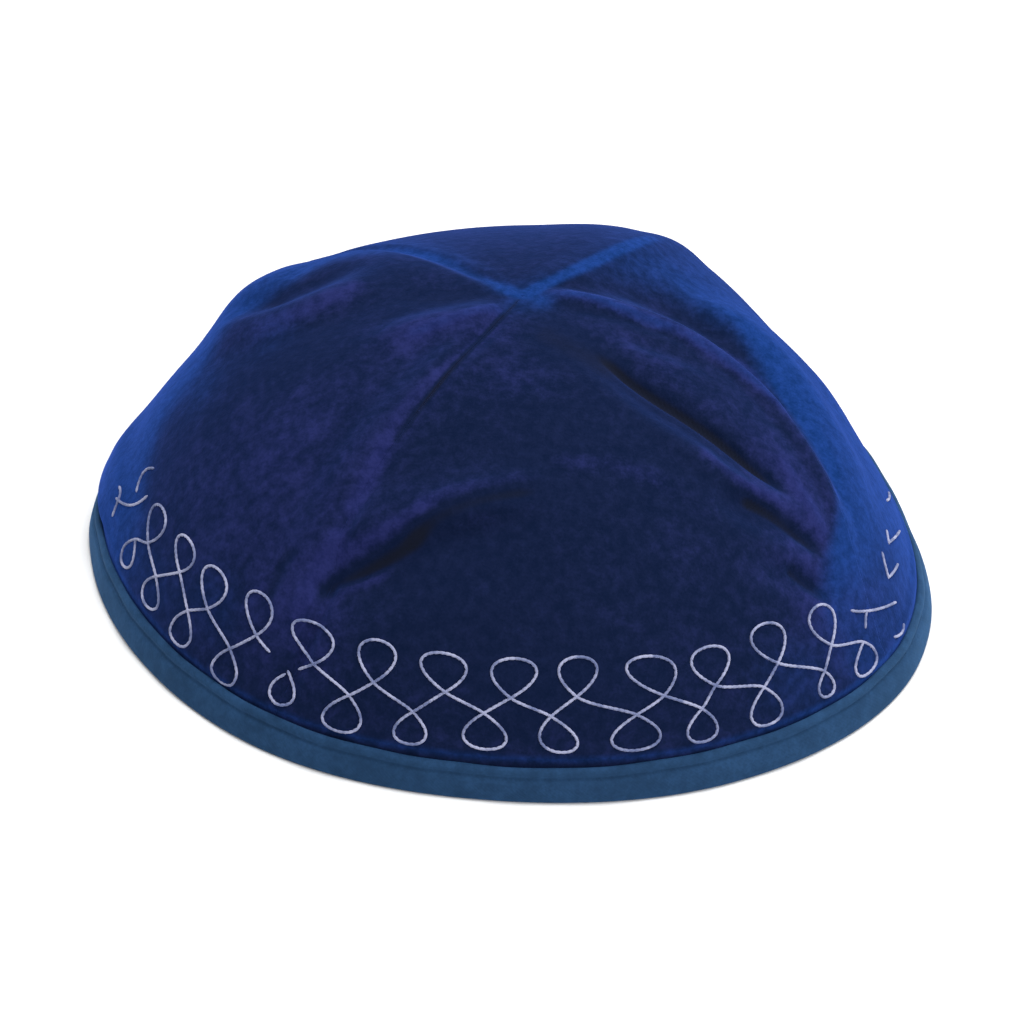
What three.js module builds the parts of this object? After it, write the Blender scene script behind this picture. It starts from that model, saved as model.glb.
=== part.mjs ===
// A kippah skullcap: four velvet panels that meet at the apex, and a folded tape that binds the rim.
//
// Millimetres, +Z up. The origin is the middle of the rim, on the surface that the cap rests on, and
// the front of the cap faces -Y.
// A turn is an angle in degrees around +Z, counted from the front towards +X.
// A rise runs up the cloth from 0 at the rim to 1 at the apex.

import * as THREE from 'three';

// Driving dimensions
const RIM_RADIUS = 91;          // middle of the rim to the outside of the cloth
const CROWN_HEIGHT = 63;        // surface to the outside of the cloth at the apex
const APEX_FORWARD = 1;         // how far the apex leans to the front
const CLOTH_THICKNESS = 1.8;    // velvet with its backing
const SEAM_GAP = 0.4;           // between two panels
const SEAM_RELIEF = 1.2;        // depth of a sunk seam, or height of a raised one
const SEAM_WIDTH = 2.4;         // from a seam to where its relief has mostly gone
const FOLD_RELIEF = 2;          // height of a usual fold
const FOLD_WIDTH = 5;           // from the crest of a usual fold to its foot
const BINDING_HEIGHT = 8;       // how far the tape reaches up the cloth
const TAPE_THICKNESS = 0.8;
const TAPE_SWELL = 0.5;         // how far the folded tape rounds out between its edges
const BINDING_CLEARANCE = 0.35; // between the tape and the cloth inside it
const RELIEF_MARGIN = 10;       // height over which folds and seams grow above the tape

const TAPE_TOP = BINDING_HEIGHT + BINDING_CLEARANCE;
const CLOTH_FOOT = TAPE_THICKNESS + BINDING_CLEARANCE;

// Facets
const PANEL_COLUMNS = 22;
const PANEL_ROWS = 22;
const EDGE_CROWDING = 0.06;     // moves the columns of a panel towards its seams
const FOLD_STEPS = 12;
const NORMAL_STEP = 0.01;       // a small rise or turn, for the slope of the cloth
const HEIGHT_SEARCH_STEPS = 30;
const FULL_TURN = 360;

// Colours
const VELVET_BLUE = 0x1c2a5c;
const TAPE_BLUE = 0x2c4c78;

// The cloth's section at even turns: reach is a share of the rim radius, the two outs are shares of
// that reach, and the two ups are shares of the crown height.
const SECTIONS = [
  { turn: 0, reach: 0.99, lowOut: 0.9, lowUp: 0.6, highOut: 0.5, highUp: 1.0 },
  { turn: 30, reach: 1.02, lowOut: 0.9, lowUp: 0.6, highOut: 0.5, highUp: 1.0 },
  { turn: 60, reach: 1.038, lowOut: 0.9, lowUp: 0.6, highOut: 0.5, highUp: 1.0 },
  { turn: 90, reach: 0.986, lowOut: 0.83, lowUp: 0.6, highOut: 0.49, highUp: 1.0 },
  { turn: 120, reach: 0.976, lowOut: 0.81, lowUp: 0.6, highOut: 0.475, highUp: 1.0 },
  { turn: 150, reach: 0.997, lowOut: 0.9, lowUp: 0.62, highOut: 0.6, highUp: 1.06 },
  { turn: 180, reach: 0.99, lowOut: 0.9, lowUp: 0.6, highOut: 0.53, highUp: 1.01 },
  { turn: 210, reach: 1.02, lowOut: 0.88, lowUp: 0.6, highOut: 0.49, highUp: 0.99 },
  { turn: 240, reach: 1.038, lowOut: 0.79, lowUp: 0.6, highOut: 0.58, highUp: 1.03 },
  { turn: 270, reach: 0.99, lowOut: 0.93, lowUp: 0.6, highOut: 0.48, highUp: 1.0 },
  { turn: 300, reach: 0.98, lowOut: 0.9, lowUp: 0.6, highOut: 0.5, highUp: 1.0 },
  { turn: 330, reach: 0.997, lowOut: 0.9, lowUp: 0.6, highOut: 0.5, highUp: 1.0 },
];

// Where the rim is drawn in: the turn, the depth as a share of the cloth's reach there, and the
// width in degrees.
const RIM_TUCKS = [
  { turn: -114, depth: 0.045, width: 16 },
  { turn: 101, depth: 0.02, width: 12 },
];

// The seams between the panels: the turn of each at even rises from the rim to the apex, its relief
// as a share of the seam relief, sunk where negative, and its width as a share of the seam width.
const SEAMS = [
  { name: 'front_left', turns: [-31, -28.5, -30, -28, -24], relief: -1.0, width: 0.85 },
  { name: 'front_right', turns: [58.5, 61, 72, 87, 96], relief: 1.2, width: 1.2 },
  { name: 'back_right', turns: [150, 149, 147, 142, 132], relief: 0.7, width: 1.8 },
  { name: 'back_left', turns: [236, 230, 225, 225, 230], relief: -0.8, width: 0.85 },
];

// The folds and dents: each runs from one place on the cloth by another to a third. Relief is a
// share of the fold relief, sunk where negative. The widths are shares of the fold width, on the
// left and the right of someone who walks along the fold on the outside.
const FOLDS = [
  { name: 'left_bulge', from: [-150, 0.28], by: [-121, 0.39], to: [-110, 0.57],
    relief: 1.5, left: 2, right: 2 },
  { name: 'left_overhang', from: [-70, 0.1], by: [-88, 0.11], to: [-106, 0.15],
    relief: 1, left: 2, right: 1.4 },
  { name: 'right_valley', from: [122, 0.88], by: [96, 0.6], to: [66, 0.32],
    relief: -1.6, left: 1.3, right: 1.2 },
  { name: 'right_crest', from: [125, 0.64], by: [91, 0.49], to: [63, 0.24],
    relief: 1.2, left: 1.8, right: 0.9 },
  { name: 'right_back', from: [128, 0.6], by: [110, 0.42], to: [94, 0.24],
    relief: 0.8, left: 2, right: 2 },
  { name: 'front_groove', from: [40, 0.9], by: [49, 0.62], to: [60, 0.38],
    relief: -1.2, left: 0.9, right: 0.8 },
  { name: 'middle_ridge', from: [42, 0.7], by: [49, 0.52], to: [60, 0.32],
    relief: 0.6, left: 0.8, right: 0.8 },
  { name: 'second_groove', from: [40, 0.52], by: [50, 0.42], to: [59, 0.29],
    relief: -0.9, left: 0.7, right: 0.7 },
  { name: 'third_groove', from: [40, 0.37], by: [50, 0.3], to: [57, 0.235],
    relief: -0.7, left: 0.7, right: 0.7 },
  { name: 'fine_line', from: [58, 0.86], by: [69, 0.76], to: [71, 0.64],
    relief: -0.35, left: 0.5, right: 0.5 },
  { name: 'front_lip', from: [-33, 0.32], by: [-17, 0.485], to: [14, 0.555],
    relief: 1.1, left: 1.2, right: 0.7 },
  { name: 'front_shadow', from: [-33, 0.28], by: [-18, 0.42], to: [10, 0.52],
    relief: -1.1, left: 0.8, right: 1.8 },
  { name: 'left_ridge', from: [-20, 0.95], by: [-33, 0.64], to: [-31, 0.18],
    relief: 0.9, left: 0.8, right: 1 },
  { name: 'apex_fold', from: [-20, 0.97], by: [-57, 0.86], to: [-62, 0.68],
    relief: 0.8, left: 1, right: 0.8 },
  { name: 'diagonal', from: [-112, 0.3], by: [-97, 0.58], to: [-112, 0.8],
    relief: 1.0, left: 1.2, right: 1.2 },
  { name: 'diagonal_dent', from: [-116, 0.38], by: [-106, 0.58], to: [-124, 0.76],
    relief: -0.7, left: 1, right: 1 },
];
const FOLD_TAPER = 0.35;        // share of a fold's length over which it grows at each end

// Curves and steps

function smoothStep(share) {
  const s = THREE.MathUtils.clamp(share, 0, 1);
  return s * s * (3 - 2 * s);
}

// The height of a rounded crest: 1 on its line, under half one width away, and none from two widths.
function swell(widths) {
  return Math.max(0, 1 - (widths / 2) ** 2) ** 3;
}

function turnApart(turn, other) {
  return Math.abs(THREE.MathUtils.euclideanModulo(turn - other + FULL_TURN / 2, FULL_TURN) - FULL_TURN / 2);
}

// Catmull-Rom between b and c, where a and d are the values beyond them.
function between(a, b, c, d, share) {
  const slope = c - a;
  const bend = 2 * a - 5 * b + 4 * c - d;
  const twist = 3 * (b - c) + d - a;
  return b + 0.5 * share * (slope + share * (bend + share * twist));
}

// The cloth without its seams and folds

function sectionAt(turn) {
  const count = SECTIONS.length;
  const place = ((turn / FULL_TURN) * count % count + count) % count;
  const row = Math.floor(place);
  const rows = [-1, 0, 1, 2].map((step) => SECTIONS[(row + step + count) % count]);
  const section = {};
  for (const key of ['reach', 'lowOut', 'lowUp', 'highOut', 'highUp']) {
    section[key] = between(...rows.map((each) => each[key]), place - row);
  }
  return section;
}

// The distance from the crown's centre line, and the height, at a rise: a cubic curve that leaves
// the rim towards the low point and reaches the apex from the high point.
function sectionPoint(turn, rise) {
  const section = sectionAt(turn);
  const rest = 1 - rise;
  const drawnIn = RIM_TUCKS.map((tuck) => 1 - tuck.depth * swell(turnApart(turn, tuck.turn) / tuck.width));
  const rim = rest ** 3 * drawnIn.reduce((product, share) => product * share, 1);
  const low = 3 * rest * rest * rise;
  const high = 3 * rest * rise * rise;
  const reach = RIM_RADIUS * section.reach;
  return {
    out: reach * (rim + low * section.lowOut + high * section.highOut),
    up: CROWN_HEIGHT * (low * section.lowUp + high * section.highUp + rise ** 3),
  };
}

function smoothCloth(turn, rise) {
  const { out, up } = sectionPoint(turn, rise);
  const angle = THREE.MathUtils.degToRad(turn);
  const lean = APEX_FORWARD * smoothStep(rise);
  return new THREE.Vector3(Math.sin(angle) * out, -Math.cos(angle) * out - lean, up);
}

function clothNormal(turn, rise) {
  const higher = smoothCloth(turn, Math.min(rise + NORMAL_STEP, 1));
  const lower = smoothCloth(turn, Math.max(rise - NORMAL_STEP, 0));
  const along = smoothCloth(turn + NORMAL_STEP * FULL_TURN, rise);
  const back = smoothCloth(turn - NORMAL_STEP * FULL_TURN, rise);
  if (along.distanceTo(back) < NORMAL_STEP) {
    return new THREE.Vector3(0, 0, 1);
  }
  return along.sub(back).cross(higher.sub(lower)).normalize();
}

function riseAtHeight(turn, height) {
  let low = 0;
  let high = 0.5;
  for (let step = 0; step < HEIGHT_SEARCH_STEPS; step += 1) {
    const middle = (low + high) / 2;
    if (sectionPoint(turn, middle).up < height) {
      low = middle;
    } else {
      high = middle;
    }
  }
  return high;
}

// Seams and folds

function seamTurn(seam, rise) {
  const last = seam.turns.length - 1;
  const place = THREE.MathUtils.clamp(rise, 0, 1) * last;
  const row = Math.min(Math.floor(place), last - 1);
  const before = seam.turns[row - 1] ?? 2 * seam.turns[0] - seam.turns[1];
  const after = seam.turns[row + 2] ?? 2 * seam.turns[last] - seam.turns[last - 1];
  return between(before, seam.turns[row], seam.turns[row + 1], after, place - row);
}

function seamRelief(turn, rise) {
  const { out } = sectionPoint(turn, rise);
  const atApex = smoothStep((1 - rise) * RIM_RADIUS / RELIEF_MARGIN);
  let relief = 0;
  for (const seam of SEAMS) {
    const away = THREE.MathUtils.degToRad(turnApart(turn, seamTurn(seam, rise))) * out;
    relief += seam.relief * swell(away / (seam.width * SEAM_WIDTH));
  }
  return SEAM_RELIEF * relief * atApex;
}

// A fold's way over the cloth, a curve through its three places: points, and at each the side that
// is on the left.
function foldPath(fold) {
  const steps = [];
  for (let step = 0; step <= FOLD_STEPS; step += 1) {
    const share = step / FOLD_STEPS;
    const weights = [(1 - share) * (1 - 2 * share), 4 * share * (1 - share), share * (2 * share - 1)];
    const places = [fold.from, fold.by, fold.to];
    const turn = places.reduce((sum, place, index) => sum + place[0] * weights[index], 0);
    const rise = places.reduce((sum, place, index) => sum + place[1] * weights[index], 0);
    steps.push({ point: smoothCloth(turn, rise), normal: clothNormal(turn, rise) });
  }
  return steps;
}

const FOLD_PATHS = FOLDS.map(foldPath);

function foldRelief(point) {
  let relief = 0;
  FOLDS.forEach((fold, index) => {
    const path = FOLD_PATHS[index];
    let nearest = { away: Infinity, share: 0, side: 0 };
    for (let step = 0; step < FOLD_STEPS; step += 1) {
      const start = path[step].point;
      const way = path[step + 1].point.clone().sub(start);
      const offset = point.clone().sub(start);
      const along = THREE.MathUtils.clamp(offset.dot(way) / way.lengthSq(), 0, 1);
      offset.addScaledVector(way, -along);
      if (offset.length() < nearest.away) {
        const left = path[step].normal.clone().cross(way);
        nearest = { away: offset.length(), share: (step + along) / FOLD_STEPS, side: offset.dot(left) };
      }
    }
    const width = FOLD_WIDTH * (nearest.side > 0 ? fold.left : fold.right);
    const taper = smoothStep(Math.min(nearest.share, 1 - nearest.share) / FOLD_TAPER);
    relief += fold.relief * taper * swell(nearest.away / width);
  });
  return FOLD_RELIEF * relief;
}

// A point near the rim at a height, so far outside the cloth's outer face, or inside it where
// negative. The cloth leans, so the point is moved sideways by a little more than that.
function rimPoint(turn, height, outside) {
  const rise = riseAtHeight(turn, height);
  const normal = clothNormal(turn, rise);
  const sideways = normal.clone().setZ(0);
  return smoothCloth(turn, rise).addScaledVector(sideways, outside / sideways.lengthSq()).setZ(height);
}

// A point of the cap at a turn and a rise, so far outside the cloth's outer face, or inside it
// where negative. Under the tape the cloth is smooth.
function clothPoint(turn, rise, outside) {
  const smooth = smoothCloth(turn, rise);
  const grown = smoothStep((smooth.z - TAPE_TOP) / RELIEF_MARGIN);
  const relief = grown === 0 ? 0 : grown * (seamRelief(turn, rise) + foldRelief(smooth));
  return smooth.addScaledVector(clothNormal(turn, rise), relief + outside);
}

// Solids

function pieceMesh(name, vertices, triangles, material) {
  const geometry = new THREE.BufferGeometry().setFromPoints(vertices);
  geometry.setIndex(triangles);
  geometry.computeVertexNormals();
  const mesh = new THREE.Mesh(geometry, material);
  mesh.name = name;
  return mesh;
}

function columnShare(column) {
  const share = column / PANEL_COLUMNS;
  return share - EDGE_CROWDING * Math.sin(2 * Math.PI * share);
}

// The turn of a panel's column at a rise: the columns lie between the two seams, half a gap in.
function panelTurn(firstSeam, nextSeam, column, rise) {
  const first = seamTurn(firstSeam, rise);
  const next = first + THREE.MathUtils.euclideanModulo(seamTurn(nextSeam, rise) - first, FULL_TURN);
  const inset = (turn) => THREE.MathUtils.radToDeg(Math.asin(SEAM_GAP / 2 / sectionPoint(turn, rise).out));
  return THREE.MathUtils.lerp(first + inset(first), next - inset(next), columnShare(column));
}

// A panel's point: its first row is the edge inside the tape, the second lies just above the tape,
// and the others follow in even steps up to the apex.
function panelPoint(firstSeam, nextSeam, column, row, outside) {
  const footTurn = panelTurn(firstSeam, nextSeam, column, 0);
  if (row < 2) {
    const height = [CLOTH_FOOT, TAPE_TOP][row];
    const rimTurn = panelTurn(firstSeam, nextSeam, column, riseAtHeight(footTurn, height));
    return rimPoint(rimTurn, height, outside);
  }
  const rise = THREE.MathUtils.lerp(riseAtHeight(footTurn, TAPE_TOP), 1, (row - 1) / (PANEL_ROWS - 1));
  return clothPoint(panelTurn(firstSeam, nextSeam, column, rise), rise, outside);
}

// A panel's point at the apex, where its two seams meet, half a gap from each of them.
function panelTip(firstSeam, nextSeam, outside) {
  const first = seamTurn(firstSeam, 1);
  const corner = THREE.MathUtils.euclideanModulo(seamTurn(nextSeam, 1) - first, FULL_TURN);
  const angle = THREE.MathUtils.degToRad(first + corner / 2);
  const out = SEAM_GAP / 2 / Math.sin(THREE.MathUtils.degToRad(corner / 2));
  const apex = smoothCloth(0, 1);
  return apex.add(new THREE.Vector3(Math.sin(angle) * out, -Math.cos(angle) * out, outside));
}

// One panel: an outer and an inner grid of points from the hidden lower edge up to the apex, closed
// along the two seams and the lower edge.
function panel(name, firstSeam, nextSeam, material) {
  const vertices = [];
  const triangles = [];
  const width = PANEL_COLUMNS + 1;
  const layer = width * PANEL_ROWS + 1;
  const tip = layer - 1;
  for (const outside of [0, -CLOTH_THICKNESS]) {
    for (let row = 0; row < PANEL_ROWS; row += 1) {
      for (let column = 0; column < width; column += 1) {
        vertices.push(panelPoint(firstSeam, nextSeam, column, row, outside));
      }
    }
    vertices.push(panelTip(firstSeam, nextSeam, outside));
  }
  const outer = (row, column) => (row === PANEL_ROWS ? tip : row * width + column);
  const inner = (row, column) => outer(row, column) + layer;
  const quad = (a, b, c, d) => {
    triangles.push(a, b, c);
    triangles.push(a, c, d);
  };
  for (let row = 0; row < PANEL_ROWS; row += 1) {
    for (let column = 0; column < PANEL_COLUMNS; column += 1) {
      if (row === PANEL_ROWS - 1) {
        triangles.push(outer(row, column), outer(row, column + 1), tip);
        triangles.push(inner(row, column + 1), inner(row, column), tip + layer);
      } else {
        quad(outer(row, column), outer(row, column + 1), outer(row + 1, column + 1), outer(row + 1, column));
        quad(inner(row, column + 1), inner(row, column), inner(row + 1, column), inner(row + 1, column + 1));
      }
    }
    quad(inner(row, 0), outer(row, 0), outer(row + 1, 0), inner(row + 1, 0));
    const last = PANEL_COLUMNS;
    quad(outer(row, last), inner(row, last), inner(row + 1, last), outer(row + 1, last));
  }
  for (let column = 0; column < PANEL_COLUMNS; column += 1) {
    quad(inner(0, column), inner(0, column + 1), outer(0, column + 1), outer(0, column));
  }
  return pieceMesh(name, vertices, triangles, material);
}

// The tape's section at a turn, once round: up its outer face, over its edge, down and up again
// along both faces of the cloth, and down its inner face to the flat foot that the cap rests on.
function bindingSection(turn) {
  const near = BINDING_CLEARANCE;
  const far = BINDING_CLEARANCE + TAPE_THICKNESS;
  const facing = [
    { height: 0, outside: far },
    { height: BINDING_HEIGHT / 4, outside: far + TAPE_SWELL },
    { height: BINDING_HEIGHT * 3 / 4, outside: far + TAPE_SWELL },
    { height: BINDING_HEIGHT, outside: far },
    { height: BINDING_HEIGHT, outside: near },
    { height: TAPE_THICKNESS, outside: near },
    { height: TAPE_THICKNESS, outside: -CLOTH_THICKNESS - near },
    { height: BINDING_HEIGHT, outside: -CLOTH_THICKNESS - near },
    { height: BINDING_HEIGHT, outside: -CLOTH_THICKNESS - far },
    { height: BINDING_HEIGHT / 2, outside: -CLOTH_THICKNESS - far - TAPE_SWELL / 2 },
    { height: 0, outside: -CLOTH_THICKNESS - far },
  ];
  return facing.map(({ height, outside }) => rimPoint(turn, height, outside));
}

// The binding, one closed ring of sections. It has a section at every column of the panels' lower
// edges, so its facets run beside theirs.
function binding(name, material) {
  const turns = [];
  SEAMS.forEach((seam, index) => {
    const next = SEAMS[(index + 1) % SEAMS.length];
    const start = seamTurn(seam, 0);
    const sweep = THREE.MathUtils.euclideanModulo(seamTurn(next, 0) - start, FULL_TURN);
    for (let column = 0; column < PANEL_COLUMNS; column += 1) {
      turns.push(start + sweep * columnShare(column));
    }
  });
  const sections = turns.map(bindingSection);
  const size = sections[0].length;
  const triangles = [];
  sections.forEach((section, index) => {
    const here = index * size;
    const there = ((index + 1) % sections.length) * size;
    for (let point = 0; point < size; point += 1) {
      const next = (point + 1) % size;
      triangles.push(here + point, there + point, there + next);
      triangles.push(here + point, there + next, here + next);
    }
  });
  return pieceMesh(name, sections.flat(), triangles, material);
}

// The cap

const [frontLeft, frontRight, backRight, backLeft] = SEAMS;
const velvet = () => new THREE.MeshStandardMaterial({ color: VELVET_BLUE, roughness: 0.9, metalness: 0 });
const tape = new THREE.MeshStandardMaterial({ color: TAPE_BLUE, roughness: 0.75, metalness: 0 });

const cap = new THREE.Group();
cap.name = 'kippah_skullcap';
cap.add(panel('panel_front', frontLeft, frontRight, velvet()));
cap.add(panel('panel_right', frontRight, backRight, velvet()));
cap.add(panel('panel_back', backRight, backLeft, velvet()));
cap.add(panel('panel_left', backLeft, frontLeft, velvet()));
cap.add(binding('rim_binding', tape));

export default cap;
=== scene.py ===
"""A kippah skullcap: four velvet panels sewn together up to the apex, a folded tape that binds the rim,
and a band of embroidered loops above the tape.

The tables and the form are in millimetres; they become metres where vertices are placed.
A turn is an angle in degrees around +Z, counted from the front, -Y, towards +X.
A rise runs up the cloth from 0 at the rim to 1 at the apex.
"""

import math
import random

import bmesh
import bpy
import numpy as np
from mathutils import Matrix, Vector


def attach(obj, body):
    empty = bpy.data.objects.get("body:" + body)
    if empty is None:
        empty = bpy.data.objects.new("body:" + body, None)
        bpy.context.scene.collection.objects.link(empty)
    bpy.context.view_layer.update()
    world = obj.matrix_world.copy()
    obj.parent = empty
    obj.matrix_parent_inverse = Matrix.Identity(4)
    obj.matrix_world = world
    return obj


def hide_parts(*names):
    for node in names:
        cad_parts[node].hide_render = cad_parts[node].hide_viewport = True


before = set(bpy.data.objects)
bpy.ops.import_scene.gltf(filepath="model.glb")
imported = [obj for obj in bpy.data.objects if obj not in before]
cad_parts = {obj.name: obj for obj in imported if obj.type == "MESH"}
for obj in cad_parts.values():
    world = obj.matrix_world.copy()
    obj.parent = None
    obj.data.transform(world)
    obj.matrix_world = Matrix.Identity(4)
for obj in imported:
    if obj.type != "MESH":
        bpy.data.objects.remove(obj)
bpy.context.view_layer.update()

MM = 0.001

# The form, as in the part's source; the cap's right side alone reaches half a millimetre further out
RIM_RADIUS = 91
CROWN_HEIGHT = 63
APEX_FORWARD = 1
CLOTH_THICKNESS = 1.8
SEAM_RELIEF = 1.2
SEAM_WIDTH = 2.4
FOLD_RELIEF = 2
FOLD_WIDTH = 5
FOLD_TAPER = 0.35
FOLD_STEPS = 12
CREASE_TAPER = 0.2
CREASE_MARGIN = 2        # height over which the creases grow above the tape
FOLD_TONE = 0.15         # painted shade and highlight: how much the folds darken or lighten the pile's colour
BINDING_HEIGHT = 8
TAPE_THICKNESS = 0.8
TAPE_SWELL = 0.5
BINDING_CLEARANCE = 0.35
RELIEF_MARGIN = 10
TAPE_TOP = BINDING_HEIGHT + BINDING_CLEARANCE
CLOTH_FOOT = TAPE_THICKNESS + BINDING_CLEARANCE
NORMAL_STEP = 0.01
HIGHEST_SEARCHED = 0.5   # the rise below which a height near the rim is searched for
SEARCH_STEPS = 30
FULL_TURN = 360

# The finer form
PANEL_COLUMNS = 190
PANEL_ROWS = 165
EDGE_CROWDING = 0.13     # moves the columns of a panel towards its seams
SEAM_GAP = 0.02          # between the piles of two panels
SEAM_ROLL = 0.2          # radius with which the velvet turns down into a seam
ROLL_LOW_SHARE = 0.2     # how much of that roll is left low on the seams
ROLL_START = 0.5         # the rise from which it grows
ROLL_LENGTH = 0.3
ROLL_TURN = -28          # the front left seam, where it is full
ROLL_SPREAD = 30
ROLL_FAR_SHARE = 0.15    # how much is left at the other seams
ALLOWANCE_WIDTH = 6      # of the cloth folded back inside along a seam
ALLOWANCE_EDGE = 0.6
ALLOWANCE_RELIEF = 0.5
ALLOWANCE_FOOT = 2       # height over which it grows above the tape
PILE_PUFF = 0.45         # how far the pile swells out above the tape that presses it
PILE_PUFF_WIDTH = 1.3
TAPE_GLOW = 0.45         # painted sheen: how azure the pile is painted just above the tape, which presses it up
TAPE_GLOW_WIDTH = 0.8
TAPE_COLUMNS = 720
TAPE_POINTS = 40
TAPE_EDGE = 0.08         # between the tape's edge and the velvet
TAPE_INNER_DROP = 0.5    # how much lower the tape ends inside
TAPE_FRONT_SHARE = 0.48  # of its section, from the foot up to the edge outside
TAPE_RIPPLES = ((0.12, 11, 0), (0.10, 29, 40))  # depth, how many round the rim, and shift in degrees
TAPE_RIPPLE_FOOT = 3     # height over which the ripples grow
LOOP_WIDTH = 8.0
LOOP_POINTS = 61
LOOP_FULLNESS = 0.77     # of the drop shape's widest place, where it is drawn one wide
STRAND_POINTS = 14       # from one loop to the next
STRAND_PULL = 0.7        # how far a strand keeps the loops' directions
STRAND_RISE = 0.01       # the rise that counts as one degree along a strand
STROKE_POINTS = 12
THREAD_WIDTH = 0.64
THREAD_HEIGHT = 0.68
THREAD_LIFT = 0.05       # of a stitch's middle above the velvet
SEAM_BRIDGE = 0.5        # how far the thread stands out over a sunk seam
STITCH_LENGTH = 1.8
STITCH_PITCH = 1.15
STITCH_REACH = 0.4       # ahead and behind, where a stitch takes its direction
STITCH_SLANT = 0.05
STITCH_SIDES = 8
STITCH_RINGS = 6

# The cloth's section at even turns: reach is a share of the rim radius, the two outs are shares of
# that reach, and the two ups are shares of the crown height.
# reach, low out, low up, high out, high up
SECTIONS = np.array([
    (0.990, 0.90, 0.60, 0.500, 1.00),
    (1.020, 0.90, 0.60, 0.500, 1.00),
    (1.038, 0.90, 0.60, 0.500, 1.00),
    (0.993, 0.84, 0.60, 0.490, 1.00),
    (0.980, 0.82, 0.60, 0.475, 1.00),
    (0.997, 0.90, 0.62, 0.600, 1.06),
    (0.990, 0.90, 0.60, 0.530, 1.01),
    (1.020, 0.88, 0.60, 0.490, 0.99),
    (1.038, 0.79, 0.60, 0.580, 1.03),
    (0.990, 0.93, 0.60, 0.480, 1.00),
    (0.980, 0.90, 0.60, 0.500, 1.00),
    (0.997, 0.90, 0.60, 0.500, 1.00),
])

# Where the rim is drawn in: the turn, how far as a share of the rim radius, and the width in degrees.
RIM_TUCKS = [(-114, 0.045, 16), (101, 0.02, 12)]

# The seams: turns at even rises from the rim to the apex, relief and width as shares of the seam's.
SEAMS = {
    "front_left": ((-31, -28.5, -30, -28, -24), -1.0, 0.85),
    "front_right": ((58.5, 61, 72, 87, 96), 1.2, 1.2),
    "back_right": ((150, 149, 147, 142, 132), 0.7, 1.8),
    "back_left": ((236, 230, 225, 225, 230), -0.8, 0.85),
}

# The seam whose ridge lies flat near the tape, and the rises over which it grows.
FLAT_LOW_SEAM = "front_right"
FLAT_LOW_START = 0.20
FLAT_LOW_LENGTH = 0.25

# The folds: each runs from one place (turn, rise) by another to a third. Then its relief as a share
# of the fold relief, and its widths on the left and the right as shares of the fold width.
FOLDS = {
    "left_bulge": ((-150, 0.28), (-121, 0.39), (-110, 0.57), 1.5, 2, 2),
    "left_overhang": ((-70, 0.10), (-88, 0.11), (-106, 0.15), 1.0, 2, 1.4),
    "right_valley": ((122, 0.88), (96, 0.60), (66, 0.32), -1.6, 1.3, 1.2),
    "right_crest": ((125, 0.64), (91, 0.49), (63, 0.24), 1.2, 1.8, 0.9),
    "right_back": ((128, 0.60), (110, 0.42), (94, 0.24), 0.8, 2, 2),
    "front_groove": ((40, 0.90), (49, 0.62), (60, 0.38), -1.2, 0.9, 0.8),
    "middle_ridge": ((42, 0.70), (49, 0.52), (60, 0.32), 0.6, 0.8, 0.8),
    "second_groove": ((40, 0.52), (50, 0.42), (59, 0.29), -0.9, 0.7, 0.7),
    "third_groove": ((40, 0.37), (50, 0.30), (57, 0.235), -0.7, 0.7, 0.7),
    "fine_line": ((58, 0.86), (69, 0.76), (71, 0.64), -0.35, 0.5, 0.5),
    "front_lip": ((-33, 0.32), (-17, 0.485), (14, 0.555), 1.1, 1.2, 0.7),
    "front_shadow": ((-33, 0.28), (-18, 0.42), (10, 0.52), -1.1, 0.8, 1.8),
    "left_ridge": ((-20, 0.95), (-33, 0.64), (-31, 0.18), 0.9, 0.8, 1),
    "apex_fold": ((-20, 0.97), (-57, 0.86), (-62, 0.68), 0.8, 1, 0.8),
    "diagonal": ((-112, 0.30), (-97, 0.58), (-112, 0.80), 1.0, 1.2, 1.2),
    "diagonal_dent": ((-116, 0.38), (-106, 0.58), (-124, 0.76), -0.7, 1, 1),
}
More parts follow.
